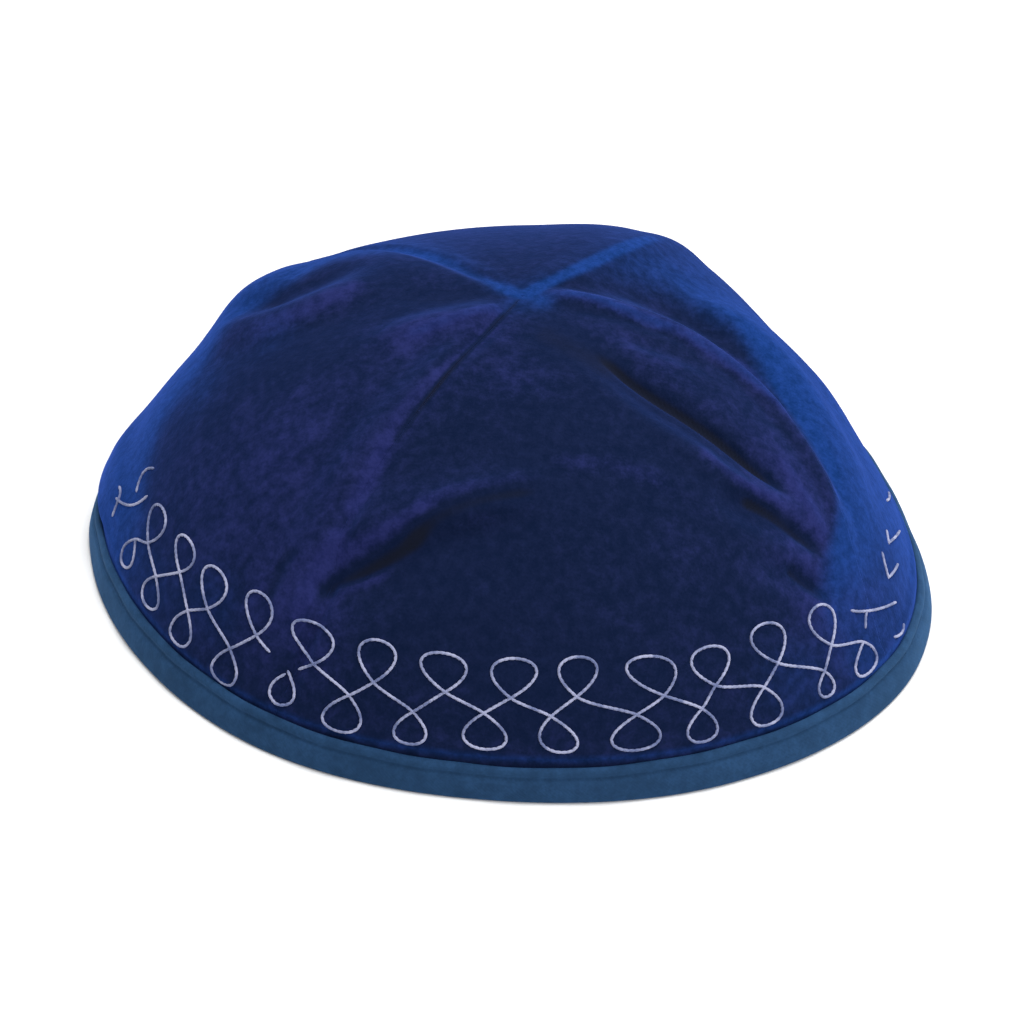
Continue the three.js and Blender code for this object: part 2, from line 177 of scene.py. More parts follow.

# The finer creases of the velvet and the shade, highlight and sheen painted along them: three places
# (turn, rise), then the relief in millimetres, the tone from -1, dark painted shade, to 1, violet painted
# highlight, the azure of the painted sheen from 0 to 1, and the width in millimetres.
CREASES = {
    "first_crease": ((42, 0.84), (52, 0.63), (57, 0.42), -1.3, -1.5, 0.0, 1.1),
    "first_lip": ((46, 0.60), (48, 0.515), (55, 0.42), 0.3, 0.7, 0.0, 1.3),
    "second_crease": ((46, 0.49), (52, 0.41), (56, 0.30), -1.0, -1.3, 0.0, 1.4),
    "third_crease": ((48, 0.34), (50, 0.29), (53, 0.24), -0.8, -1.2, 0.0, 1.2),
    "ridge_high": ((104, 0.965), (86, 0.84), (85, 0.72), 0.3, 0.9, 0.45, 1.5),
    "ridge_low": ((84.5, 0.76), (78, 0.62), (74, 0.49), 0.3, 1.0, 0.35, 1.6),
    "valley_high": ((116, 0.89), (112, 0.72), (98, 0.58), -0.4, 0.1, 0.0, 2.6),
    "valley_low": ((98, 0.57), (77, 0.43), (64, 0.33), -0.4, -0.1, 0.0, 1.8),
    "crest_line": ((94, 0.53), (82, 0.455), (68, 0.36), 0.2, 0.0, 0.4, 1.1),
    "streak": ((62, 0.51), (59, 0.40), (58, 0.33), 0.3, 0.7, 0.1, 1.4),
    "lip_low": ((-30, 0.36), (-24, 0.42), (-13, 0.53), 0.3, 0.6, 0.0, 1.6),
    "lip_high": ((-19, 0.48), (-9, 0.545), (12, 0.59), 0.4, 0.35, 0.0, 1.8),
    "lip_shadow_low": ((-31, 0.29), (-24, 0.365), (-13, 0.485), -0.8, -0.95, 0.0, 1.6),
    "lip_shadow_high": ((-20, 0.42), (-9, 0.515), (9, 0.56), -0.6, -0.75, 0.0, 1.5),
    "faint_fold": ((6, 0.60), (24, 0.60), (37, 0.50), 0.15, 0.45, 0.0, 2.4),
    "ridge_back": ((101, 0.72), (95, 0.62), (86, 0.51), 0.0, 1.0, 0.3, 1.9),
    "under_lip": ((-28, 0.31), (-24, 0.34), (-18, 0.39), 0.3, 0.6, 0.0, 1.2),
    "seam_light_high": ((-21, 0.93), (-31, 0.74), (-31, 0.58), 0.2, 0.35, 0.0, 1.2),
    "seam_light_middle": ((-31, 0.63), (-30, 0.52), (-30, 0.43), 0.3, 0.65, 0.0, 1.7),
    "seam_light_low": ((-29, 0.44), (-31, 0.34), (-31, 0.22), 0.3, 0.6, 0.0, 1.7),
    "seam_dark": ((-37, 0.36), (-37, 0.30), (-37, 0.24), -0.3, -0.4, 0.0, 1.4),
    "diagonal_light": ((-108, 0.74), (-94, 0.66), (-94, 0.50), 0.1, 0.5, 0.0, 3.0),
    "apex_left": ((-32, 0.96), (-50, 0.88), (-57, 0.76), 0.3, 0.6, 0.25, 1.6),
    "apex_dark": ((10, 0.91), (31, 0.855), (45, 0.75), -0.1, -0.65, 0.0, 4.4),
    "left_valley": ((-74, 0.955), (-85, 0.88), (-92, 0.78), -0.1, -0.45, 0.0, 2.4),
    "left_overhang": ((-76, 0.085), (-96, 0.095), (-116, 0.11), 1.3, 0.0, 0.0, 4.0),
    "left_dark": ((-112, 0.40), (-108, 0.50), (-104, 0.60), -0.2, -0.6, 0.0, 2.0),
}

# Along the seams: the rises between which shade, highlight or sheen is painted on the pile, its tone (dark
# painted shade or violet painted highlight), azure of the painted sheen, and width.
SEAM_SHEENS = {
    "front_left": (0.55, 1.0, -1.2, 0.0, 0.55),
    "front_right": (0.35, 1.0, 0.25, 0.1, 2.0),
    "back_right": (0.55, 1.0, 0.0, 0.85, 1.5),
    "back_left": (0.60, 1.0, 0.0, 0.6, 1.8),
}

# The rises over which it comes up from the lower one.
SHEEN_LENGTH = 0.2

# Wider places with painted highlight, where the pile is more violet, or painted shade, where it is darker:
# turn, rise, the widths of both, and the tone.
TONE_ZONES = [
    (55, 0.28, 8, 0.16, 0.50),
    (60, 0.76, 9, 0.10, 0.35),
    (60, 0.48, 8, 0.12, 0.40),
    (-28, 0.90, 30, 0.06, 0.35),
    (50, 0.24, 6, 0.10, 0.30),
    (-50, 0.36, 20, 0.20, 0.25),
    (-58, 0.81, 14, 0.06, 0.45),
    (-2, 0.78, 16, 0.05, 0.30),
    (16, 0.62, 26, 0.12, -0.25),
    (-31, 0.27, 8, 0.11, 0.40),
    (2, 0.28, 22, 0.14, -0.20),
    (-78, 0.62, 10, 0.07, -0.30),
    (100, 0.74, 16, 0.07, 0.20),
    (-50, 0.58, 16, 0.16, 0.20),
]

# Small places where the painted sheen is more or less azure, in the same way.
AZURE_ZONES = [
    (43, 0.14, 7, 0.08, 0.30),
    (-86, 0.41, 8, 0.06, 0.35),
    (-90, 0.57, 8, 0.06, 0.25),
    (-110, 0.51, 8, 0.05, -0.35),
    (-62, 0.13, 8, 0.06, 0.30),
    (-46, 0.19, 7, 0.07, 0.25),
    (70, 0.97, 30, 0.02, 0.30),
    (-76, 0.94, 14, 0.03, -0.25),
]

# Painted sheen where the cap's sides catch the light at a grazing angle: a line of (turn, rise) on the
# cap's right and one on its left, beyond which the velvet is painted azure, and the turns where that ends
# at the back.
AZURE_RIGHT = (
    (48, 0.0), (47, 0.15), (46, 0.22), (49, 0.27), (52, 0.31), (59, 0.35), (64.5, 0.39), (70, 0.445),
    (79, 0.50), (88, 0.555), (96, 0.59), (104, 0.66), (108, 0.71), (110, 0.76), (112, 0.85), (140, 1.0),
)
AZURE_LEFT = (
    (-60, 0.0), (-63, 0.2), (-75, 0.3), (-84, 0.39), (-96, 0.5), (-115, 0.62), (-122, 0.75),
    (-130, 0.85), (-150, 1.0),
)
AZURE_END_RIGHT = 178
AZURE_END_LEFT = -165
AZURE_FADE_RIGHT = 90    # the turn over which each fades before its end
AZURE_FADE_LEFT = 55

# The turn over which the azure comes up past its line: on the right at these rises, and on the left.
AZURE_SPREADS = ((8, 0.0), (8, 0.42), (12, 0.5), (18, 0.58), (28, 0.68), (32, 1.0))
AZURE_SPREAD_LEFT = 16

# What the azure on the right loses above a rise, below a rise, and low in the corner by the front.
AZURE_RISE_STEP = 0.12
AZURE_HIGH_LOSS = 0.35
AZURE_HIGH_RISE = 0.72
AZURE_LOW_LOSS = 0.22
AZURE_LOW_RISE = 0.50
AZURE_CORNER_LOSS = 0.4
AZURE_CORNER_RISE = 0.30
AZURE_CORNER_TURN = 82
AZURE_CORNER_SPREAD = 16

# The painted azure sheen where the four seams meet, and its width as a rise.
APEX_AZURE = 0.45
APEX_AZURE_WIDTH = 0.05

# How far the tape reaches up at even turns, as a share of the binding height.
TAPE_REACH = np.array([
    (0.86,), (0.94,), (1.0,), (1.0,), (0.98,), (1.0,),
    (0.98,), (1.0,), (0.98,), (1.0,), (0.98,), (0.94,),
])

# The embroidered loops from the left to the right, an upper and a lower one in turn: the turn and
# rise where the thread crosses itself, those of the loop's far end, and its width as a share of the
# loop width.
LOOPS = [
    (-68.5, 0.155, -68.5, 0.097, 0.75),
    (-65.0, 0.176, -66.5, 0.244, 1.00), (-59.5, 0.146, -58.5, 0.091, 0.90),
    (-55.0, 0.190, -57.0, 0.248, 1.02), (-50.0, 0.146, -49.5, 0.082, 0.85),
    (-46.5, 0.175, -48.0, 0.246, 1.08), (-40.0, 0.138, -39.5, 0.074, 0.85),
    (-36.5, 0.185, -38.5, 0.256, 0.95), (-30.0, 0.148, -30.0, 0.090, 0.70),
    (-26.5, 0.180, -28.6, 0.249, 1.24), (-20.5, 0.145, -21.0, 0.078, 0.98),
    (-17.5, 0.178, -18.0, 0.253, 1.00), (-11.5, 0.140, -11.5, 0.083, 0.80),
    (-7.5, 0.183, -8.5, 0.251, 1.18), (-2.0, 0.153, -1.5, 0.090, 1.05),
    (1.5, 0.183, 2.0, 0.253, 1.15), (7.0, 0.153, 8.5, 0.090, 0.90),
    (10.5, 0.188, 11.0, 0.258, 0.98), (18.5, 0.150, 18.0, 0.088, 1.22),
    (22.5, 0.178, 20.5, 0.251, 1.26), (27.5, 0.143, 27.0, 0.085, 0.80),
    (30.0, 0.178, 30.0, 0.248, 1.08), (37.0, 0.150, 36.5, 0.083, 0.92),
    (40.0, 0.183, 39.5, 0.258, 1.04), (47.0, 0.133, 46.5, 0.088, 0.54),
    (49.5, 0.170, 49.5, 0.246, 0.94), (55.5, 0.138, 54.5, 0.082, 0.95),
]
LOOP_SPACING = 9.6       # turn from one motif to the next where the loops are not charted
BACK_LOOPS = (112, 249)  # turns between which they run
UPPER_LOOP = (0.180, 0.250)
LOWER_LOOP = (0.146, 0.082)
LOWER_LOOP_SHIFT = 0.55  # as a share of the spacing
CROSSING_STRAY = (0.6, 0.005)  # how far the loops vary: turn and rise
TIP_STRAY = (1.2, 0.008)
WIDTH_STRAY = (0.8, 1.15)

# Short strokes at the left and the right, where the pile hides the rest of the thread.
STROKES = [
    ((-75.5, 0.266), (-77.2, 0.240), (-75.5, 0.208)),
    ((-79.0, 0.155), (-74.5, 0.182), (-72.0, 0.226)),
    ((-80.5, 0.170), (-78.5, 0.163), (-77.5, 0.128)),
    ((55.5, 0.201), (59.2, 0.175), (66.5, 0.135)),
    ((58.3, 0.178), (57.6, 0.170), (57.0, 0.158)),
    ((62.5, 0.095), (64.7, 0.086), (66.0, 0.092)),
    ((69.2, 0.218), (68.2, 0.199), (67.5, 0.180)),
    ((67.5, 0.180), (69.6, 0.172), (72.8, 0.163)),
    ((75.2, 0.216), (74.3, 0.211), (73.5, 0.205)),
    ((73.5, 0.205), (77.5, 0.182), (82.0, 0.156)),
    ((92.5, 0.153), (89.0, 0.172), (85.5, 0.198)),
]

# Where the pile swallows the thread: turn, rise and radius in millimetres.
BURIED = [(-33.0, 0.168, 1.3), (-31.6, 0.162, 1.1), (-30.4, 0.156, 1.3), (-29.3, 0.157, 1.2)]


# Curves and steps

def smooth_step(share):
    share = np.clip(share, 0, 1)
    return share * share * (3 - 2 * share)


def swell(widths):
    """The height of a rounded crest: 1 on its line, and none from two widths."""
    return np.maximum(0, 1 - (widths / 2) ** 2) ** 3


def between(before, first, second, after, share):
    slope = second - before
    bend = 2 * before - 5 * first + 4 * second - after
    twist = 3 * (first - second) + after - before
    return first + 0.5 * share * (slope + share * (bend + share * twist))


def turn_apart(turn, other):
    return np.abs(np.mod(turn - other + FULL_TURN / 2, FULL_TURN) - FULL_TURN / 2)


def round_the_rim(table, turn):
    """A table's rows at even turns, as a smooth curve all the way round."""
    count = len(table)
    place = np.mod(np.asarray(turn, float) / FULL_TURN * count, count)
    row = np.floor(place).astype(int)
    rows = [table[(row + step) % count] for step in (-1, 0, 1, 2)]
    return between(*rows, (place - row)[..., None])


# The cloth without its seams and folds

def section_point(turn, rise):
    reach, low_out, low_up, high_out, high_up = np.moveaxis(round_the_rim(SECTIONS, turn), -1, 0)
    rest = 1 - rise
    rim = rest ** 3
    low = 3 * rest * rest * rise
    high = 3 * rest * rise * rise
    for tuck, depth, width in RIM_TUCKS:
        rim = rim * (1 - depth * swell(turn_apart(turn, tuck) / width))
    out = RIM_RADIUS * reach * (rim + low * low_out + high * high_out)
    up = CROWN_HEIGHT * (low * low_up + high * high_up + rise ** 3)
    return out, up


def smooth_cloth(turn, rise):
    out, up = section_point(turn, rise)
    angle = np.radians(turn)
    forward = APEX_FORWARD * smooth_step(rise)
    return np.stack([np.sin(angle) * out, -np.cos(angle) * out - forward, up], -1)


def cloth_normal(turn, rise):
    step = NORMAL_STEP
    up = smooth_cloth(turn, np.minimum(rise + step, 1)) - smooth_cloth(turn, np.maximum(rise - step, 0))
    along = smooth_cloth(turn + step * FULL_TURN, rise) - smooth_cloth(turn - step * FULL_TURN, rise)
    normal = np.cross(along, up)
    length = np.linalg.norm(normal, axis=-1, keepdims=True)
    at_apex = np.linalg.norm(along, axis=-1, keepdims=True) < step
    return np.where(at_apex, (0, 0, 1), normal / np.maximum(length, step ** 4))


def rise_at_height(turn, height):
    low = np.zeros_like(turn, dtype=float)
    high = low + HIGHEST_SEARCHED
    for step in range(SEARCH_STEPS):
        middle = (low + high) / 2
        below = section_point(turn, middle)[1] < height
        low = np.where(below, middle, low)
        high = np.where(below, high, middle)
    return high


# Seams and folds

def seam_turn(seam, rise):
    turns = np.array(SEAMS[seam][0], float)
    last = len(turns) - 1
    place = np.clip(rise, 0, 1) * last
    row = np.minimum(place.astype(int), last - 1)
    longer = np.concatenate([[2 * turns[0] - turns[1]], turns, [2 * turns[-1] - turns[-2]]])
    return between(longer[row], longer[row + 1], longer[row + 2], longer[row + 3], place - row)


def away_from_seam(seam, turn, rise):
    """Millimetres along the cloth from a seam."""
    return np.radians(turn_apart(turn, seam_turn(seam, rise))) * section_point(turn, rise)[0]


def seam_relief(turn, rise):
    relief = 0
    for seam, (turns, share, width) in SEAMS.items():
        if seam == FLAT_LOW_SEAM:
            share = share * smooth_step((rise - FLAT_LOW_START) / FLAT_LOW_LENGTH)
        relief = relief + share * swell(away_from_seam(seam, turn, rise) / (width * SEAM_WIDTH))
    return SEAM_RELIEF * relief * smooth_step((1 - rise) * RIM_RADIUS / RELIEF_MARGIN)


def fold_path(start, middle, end):
    share = np.linspace(0, 1, FOLD_STEPS + 1)
    weights = np.stack([(1 - share) * (1 - 2 * share), 4 * share * (1 - share), share * (2 * share - 1)])
    turn, rise = np.array([start, middle, end], float).T @ weights
    return smooth_cloth(turn, rise), cloth_normal(turn, rise)


def along_fold(point, start, middle, end, left, right, taper):
    """The height of one fold: 1 on the middle of its line, with a width on its left and its right."""
    path, normals = fold_path(start, middle, end)
    nearest = np.full(point.shape[:-1], np.inf)
    share = np.zeros(nearest.shape)
    side = np.zeros(nearest.shape)
    for step in range(FOLD_STEPS):
        way = path[step + 1] - path[step]
        along = np.clip((point - path[step]) @ way / (way @ way), 0, 1)
        offset = point - path[step] - along[..., None] * way
        away = np.linalg.norm(offset, axis=-1)
        closer = away < nearest
        nearest = np.where(closer, away, nearest)
        share = np.where(closer, (step + along) / FOLD_STEPS, share)
        side = np.where(closer, offset @ np.cross(normals[step], way), side)
    ends = smooth_step(np.minimum(share, 1 - share) / taper)
    return ends * swell(nearest / np.where(side > 0, left, right))


def fold_relief(point):
    relief = 0
    for start, middle, end, height, left, right in FOLDS.values():
        fold = along_fold(
            point, start, middle, end, left * FOLD_WIDTH, right * FOLD_WIDTH, FOLD_TAPER
        )
        relief = relief + height * FOLD_RELIEF * fold
    return relief


def creases(point):
    """The relief that the creases give the velvet, and the shade, highlight and sheen painted along them.
    """
    relief = np.zeros(point.shape[:-1])
    painted_light = np.zeros(relief.shape)
    painted_sheen = np.zeros(relief.shape)
    for start, middle, end, height, shade_or_highlight, blue, width in CREASES.values():
        crease = along_fold(point, start, middle, end, width, width, CREASE_TAPER)
        relief += height * crease
        painted_light += shade_or_highlight * crease
        painted_sheen += blue * crease
    return relief, painted_light, painted_sheen


# Painted shade, highlight and sheen along the seams.
def seam_sheen(turn, rise):
    painted_light = 0
    painted_sheen = 0
    for seam, (low, high, shade_or_highlight, blue, width) in SEAM_SHEENS.items():
        shown = smooth_step((rise - low) / SHEEN_LENGTH) * swell(away_from_seam(seam, turn, rise) / width)
        painted_light = painted_light + shade_or_highlight * shown
        painted_sheen = painted_sheen + blue * shown
    return painted_light, painted_sheen


def zone_strength(zones, turn, rise):
    total = 0
    for middle_turn, middle_rise, turn_width, rise_width, strength in zones:
        across = swell(turn_apart(turn, middle_turn) / turn_width)
        total = total + strength * across * swell((rise - middle_rise) / rise_width)
    return total


def painted_side_sheen(turn, rise):
    """The painted sheen: how azure the pile is painted on the two sides, in the small zones and at the
    apex.
    """
    turn = np.mod(turn + FULL_TURN / 2, FULL_TURN) - FULL_TURN / 2
    right_turns, right_rises = np.array(AZURE_RIGHT, float).T
    left_turns, left_rises = np.array(AZURE_LEFT, float).T
    spreads, spread_rises = np.array(AZURE_SPREADS, float).T
    past_right = turn - np.interp(rise, right_rises, right_turns)
    past_left = np.interp(rise, left_rises, left_turns) - turn
    high = smooth_step((rise - AZURE_HIGH_RISE) / AZURE_RISE_STEP)
    low = smooth_step((AZURE_LOW_RISE - rise) / AZURE_RISE_STEP)
    corner = smooth_step((AZURE_CORNER_RISE - rise) / AZURE_RISE_STEP)
    corner = corner * smooth_step((AZURE_CORNER_TURN - turn) / AZURE_CORNER_SPREAD)
    right = smooth_step(past_right / np.interp(rise, spread_rises, spreads))
    right = right * smooth_step((AZURE_END_RIGHT - turn) / AZURE_FADE_RIGHT)
    right = right * (1 - AZURE_HIGH_LOSS * high) * (1 - AZURE_LOW_LOSS * low)
    right = right * (1 - AZURE_CORNER_LOSS * corner)
    left = smooth_step(past_left / AZURE_SPREAD_LEFT)
    left = left * smooth_step((turn - AZURE_END_LEFT) / AZURE_FADE_LEFT)
    apex = APEX_AZURE * swell((1 - rise) / APEX_AZURE_WIDTH)
    return right + left + zone_strength(AZURE_ZONES, turn, rise) + apex


def cloth_point(turn, rise, outside=0.0):
    """A point of the cap, so far outside the cloth's outer face, or inside it where negative."""
    smooth = smooth_cloth(turn, rise)
    grown = smooth_step((smooth[..., 2] - TAPE_TOP) / RELIEF_MARGIN)
    relief = grown * (seam_relief(turn, rise) + fold_relief(smooth)) + outside
    return smooth + cloth_normal(turn, rise) * relief[..., None]


def rim_point(turn, height, outside):
    """A point near the rim at a height. The cloth leans, so it is moved sideways by a little more."""
    rise = rise_at_height(turn, height)
    sideways = cloth_normal(turn, rise) * (1, 1, 0)
    point = smooth_cloth(turn, rise) + sideways * (outside / (sideways ** 2).sum(-1))[..., None]
    point[..., 2] = height
    return point


# Meshes

def empty_mesh():
    mesh = bmesh.new()
    mesh.loops.layers.uv.new("surface")
    return mesh


def flat_grid(mesh, across, along):
    """A grid whose x and y both run from 0 to 1: its vertices, and those two shares of each."""
    middle = Matrix.Translation((0.5, 0.5, 0))
    made = bmesh.ops.create_grid(
        mesh, x_segments=across, y_segments=along, size=0.5, matrix=middle, calc_uvs=True
    )
    verts = made["verts"]
    across_share, along_share = np.array([vert.co[:2] for vert in verts]).T
    return verts, across_share, along_share


def move(verts, points):
    for vert, point in zip(verts, points * MM):
        vert.co = point


def piece(name, mesh, finish, nodes=()):
    """Makes the finished object from a bmesh, attaches it to the root body, and hides the parts that it
    stands in for.
    """
    mesh.normal_update()
    bmesh.ops.recalc_face_normals(mesh, faces=mesh.faces)
    data = bpy.data.meshes.new(name)
    mesh.to_mesh(data)
    mesh.free()
    for material in finish if isinstance(finish, tuple) else (finish,):
        data.materials.append(material)
    data.shade_smooth()
    made = bpy.data.objects.new(name, data)
    bpy.context.scene.collection.objects.link(made)
    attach(made, "root")
    if nodes:
        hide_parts(*nodes)
    return made


# Velvet panels

def panel_turn(first, following, share, rise):
    """The turn at a share of the way from one seam to the following one, half a gap in from both."""
    start = seam_turn(first, rise)
    end = start + np.mod(seam_turn(following, rise) - start, FULL_TURN)
    out = np.maximum(section_point(start, rise)[0], SEAM_GAP)
    inset = np.degrees(SEAM_GAP / 2 / out)
    share = share - EDGE_CROWDING * np.sin(2 * np.pi * share)
    return start + inset + (end - start - 2 * inset) * share


def pile_puff(turn, rise):
    """How far the pile stands out just above the tape, which presses it."""
    above = section_point(turn, rise)[1] - TAPE_TOP
    return PILE_PUFF * np.where(above > 0, swell(above / PILE_PUFF_WIDTH - 1), 0)


def seam_roll(turn, rise, away):
    """How far the velvet turns down beside a seam, mostly high on the front left one."""
    turned = np.clip(away / SEAM_ROLL, 0, 1)
    high = ROLL_LOW_SHARE + (1 - ROLL_LOW_SHARE) * smooth_step((rise - ROLL_START) / ROLL_LENGTH)
    near = ROLL_FAR_SHARE + (1 - ROLL_FAR_SHARE) * swell(turn_apart(turn, ROLL_TURN) / ROLL_SPREAD)
    return SEAM_ROLL * (1 - np.sqrt(1 - (1 - turned) ** 2)) * high * near


def panel_points(first, following, across, along, inside):
    """Places on a panel's outer or inner face, and the shade, highlight and azure sheen painted on the
    pile there.
    """
    foot = panel_turn(first, following, across, np.zeros_like(along))
    lowest = rise_at_height(foot, CLOTH_FOOT)
    rise = lowest + (1 - lowest) * along
    turn = panel_turn(first, following, across, rise)
    away = np.minimum(away_from_seam(first, turn, rise), away_from_seam(following, turn, rise))
    height = section_point(turn, rise)[1]
    if inside:
        fold = smooth_step((ALLOWANCE_WIDTH - away) / ALLOWANCE_EDGE)
        fold = fold * smooth_step((height - TAPE_TOP) / ALLOWANCE_FOOT)
        outside = -CLOTH_THICKNESS - ALLOWANCE_RELIEF * fold
        return cloth_point(turn, rise, outside), np.zeros_like(rise), np.zeros_like(rise)
    smooth = smooth_cloth(turn, rise)
    relief, painted_light, painted_sheen = creases(smooth)
    relief = relief * smooth_step((height - TAPE_TOP) / CREASE_MARGIN)
    seam_tone, seam_azure = seam_sheen(turn, rise)
    painted_light = painted_light + seam_tone + zone_strength(TONE_ZONES, turn, rise)
    # Painted highlight on the folds' ridges and painted shade in their hollows.
    painted_light = painted_light + fold_relief(smooth) / FOLD_RELIEF * FOLD_TONE
    # Painted sheen on the pile just above the tape.
    by_tape = swell((height - TAPE_TOP) / TAPE_GLOW_WIDTH)
    painted_sheen = painted_sheen + seam_azure + painted_side_sheen(turn, rise) + TAPE_GLOW * by_tape
    outside = pile_puff(turn, rise) + relief - seam_roll(turn, rise, away)
    return cloth_point(turn, rise, outside), painted_light, painted_sheen


def velvet_panel(name, node, first, following, finish):
    mesh = empty_mesh()
    tone_layer = mesh.verts.layers.float.new("painted_light")
    azure_layer = mesh.verts.layers.float.new("painted_sheen")
    for inside in (False, True):
        verts, across, along = flat_grid(mesh, PANEL_COLUMNS, PANEL_ROWS)
        points, tones, azures = panel_points(first, following, across, along, inside)
        for vert, painted_light, painted_sheen in zip(verts, tones, azures):
            vert[tone_layer] = painted_light
            vert[azure_layer] = painted_sheen
        at_tip = along > 1 - 0.5 / PANEL_ROWS
        points[at_tip] = points[at_tip].mean(0)
        move(verts, points)
        if inside:
            for face in {face for vert in verts for face in vert.link_faces}:
                face.material_index = 1
    bmesh.ops.remove_doubles(mesh, verts=mesh.verts, dist=MM / 10000)
    bmesh.ops.bridge_loops(mesh, edges=[edge for edge in mesh.edges if edge.is_boundary])
    return piece(name, mesh, finish, [node])


# Tape

def tape_section(turn):
    """The corners of the tape's section, once round from its foot: the share of the way, the height
    and the distance outside the cloth."""
    top = BINDING_HEIGHT * round_the_rim(TAPE_REACH, turn)[..., 0]
    inner_top = BINDING_HEIGHT - TAPE_INNER_DROP
    face = TAPE_EDGE + TAPE_THICKNESS
    back = -CLOTH_THICKNESS - TAPE_EDGE
    inner_face = back - TAPE_THICKNESS
    corners = [
        (0.00, 0, -0.4),
        (0.03, 0.05, face - 0.35),
        (0.08, 0.5, face + 0.25),
        (0.18, 0.25 * top, face + TAPE_SWELL),
        (0.28, 0.55 * top, face + TAPE_SWELL),
        (0.32, top - 2.5, face + 0.34),
        (0.35, top - 1.9, face - 0.16),
        (0.38, top - 1.3, face + 0.3),
        (0.42, top - 0.5, face + 0.2),
        (0.45, top - 0.05, face - 0.15),
        (0.47, top, 0.5 * face),
        (0.50, top - 0.3, TAPE_EDGE),
        (0.58, 1.2, TAPE_EDGE),
        (0.62, 1.2, back),
        (0.72, inner_top - 0.3, back),
        (0.75, inner_top, back - 0.4),
        (0.78, inner_top - 0.3, inner_face),
        (0.88, 0.5 * inner_top, inner_face - 0.3),
        (0.96, 0.4, inner_face),
        (1.00, 0, back),
    ]
    places, heights, outsides = zip(*corners)
    level = np.zeros_like(top)
    heights = np.stack([height + level for height in heights], -1)
    outsides = np.stack([outside + level for outside in outsides], -1)
    return np.array(places), heights, outsides


def along_corners(places, values, share):
    """Reads each row of values at its own share, a smooth curve through the corners."""
    last = len(places) - 1
    row = np.clip(np.searchsorted(places, share, side="right") - 1, 0, last - 1)
    local = (share - places[row]) / (places[row + 1] - places[row])
    pick = np.arange(len(share))
    before = values[pick, np.maximum(row - 1, 0)]
    after = values[pick, np.minimum(row + 2, last)]
    return between(before, values[pick, row], values[pick, row + 1], after, local)


def tape_ring(name, node, finish):
    mesh = empty_mesh()
    verts, across, along = flat_grid(mesh, TAPE_COLUMNS, TAPE_POINTS)
    turn = FULL_TURN * across
    places, heights, outsides = tape_section(turn)
    height = along_corners(places, heights, along)
    outside = along_corners(places, outsides, along)
    for depth, times, shift in TAPE_RIPPLES:
        ripple = depth * np.sin(np.radians(turn * times + shift)) * smooth_step(height / TAPE_RIPPLE_FOOT)
        outside = outside + np.where(along < TAPE_FRONT_SHARE, ripple, 0)
    move(verts, rim_point(np.mod(turn, FULL_TURN), np.maximum(height, 0), outside))
    bmesh.ops.remove_doubles(mesh, verts=mesh.verts, dist=MM / 1000)
    bmesh.ops.bridge_loops(mesh, edges=[edge for edge in mesh.edges if edge.is_boundary])
    return piece(name, mesh, finish, [node])


# Embroidery

def back_loops():
    """Plainer loops that vary a little, round the part of the cap that is not charted."""
    chance = random.Random(7)

    def stray(value, most):
        return value + chance.uniform(-most, most)

    loops = []
    first, last = BACK_LOOPS
    for step in range(int((last - first) / LOOP_SPACING)):
        for shift, (cross, tip) in ((0, UPPER_LOOP), (LOWER_LOOP_SHIFT, LOWER_LOOP)):
            here = first + (step + shift) * LOOP_SPACING
            loops.append((
                stray(here, CROSSING_STRAY[0]),
                stray(cross, CROSSING_STRAY[1]),
                stray(here, TIP_STRAY[0]),
                stray(tip, TIP_STRAY[1]),
                chance.uniform(*WIDTH_STRAY),
            ))
    return loops


def loop_points(cross, tip, width, right):
    """A drop-shaped loop from its crossing round by the right to the crossing again."""
    axis = tip - cross
    angle = np.linspace(0, 2 * np.pi, LOOP_POINTS)[:, None]
    sideways = np.sin(angle) * np.sin(angle / 2) / LOOP_FULLNESS
    return cross + axis * (1 - np.cos(angle)) / 2 + right * sideways * width / 2


def strand_length(way):
    return np.linalg.norm(way / (1, STRAND_RISE))


def looped_path(loops):
    """The thread's way through a row of loops, in turns and rises."""
    path = []
    for turn, rise, tip_turn, tip_rise, width in loops:
        out, up = section_point(np.array(turn), np.array(rise))
        per_mm = np.degrees(1 / float(out))
        cross = np.array((turn, rise))
        tip = np.array((tip_turn, tip_rise))
        right = np.array((per_mm, 0.0))
        path.append(loop_points(cross, tip, width * LOOP_WIDTH, right))
    whole = [path[0]]
    for loop, following in zip(path, path[1:]):
        start = loop[-1]
        end = following[0]
        reach = STRAND_PULL * strand_length(end - start)
        leave = loop[-1] - loop[-2]
        leave = leave / strand_length(leave) * reach
        arrive = following[1] - following[0]
        arrive = arrive / strand_length(arrive) * reach
        share = np.linspace(0, 1, STRAND_POINTS)[1:-1, None]
        rest = 1 - share
        whole.append(
            start * (rest ** 2 * (1 + 2 * share)) + leave * (share * rest ** 2)
            + end * (share ** 2 * (3 - 2 * share)) - arrive * (share ** 2 * rest)
        )
        whole.append(following)
    return np.concatenate(whole)


def stroke_path(start, middle, end):
    """A short arc from its start through a middle place to its end."""
    start, middle, end = np.array([start, middle, end])
    share = np.linspace(0, 1, STROKE_POINTS)[:, None]
    rest = 1 - share
    bend = 2 * middle - (start + end) / 2
    return start * rest ** 2 + bend * 2 * share * rest + end * share ** 2


def velvet_point(turn, rise):
    """A point on the velvet's outer face, creases and all."""
    smooth = smooth_cloth(turn, rise)
    relief = creases(smooth)[0] * smooth_step((smooth[..., 2] - TAPE_TOP) / CREASE_MARGIN)
    return cloth_point(turn, rise, pile_puff(turn, rise) + relief)


def seam_bridge(turn, rise):
    """How far the thread stands out over the sunk seams."""
    lift = 0
    for seam, (turns, share, width) in SEAMS.items():
        if share < 0:
            lift = lift + SEAM_BRIDGE * swell(away_from_seam(seam, turn, rise) / (width * SEAM_WIDTH / 2))
    return lift


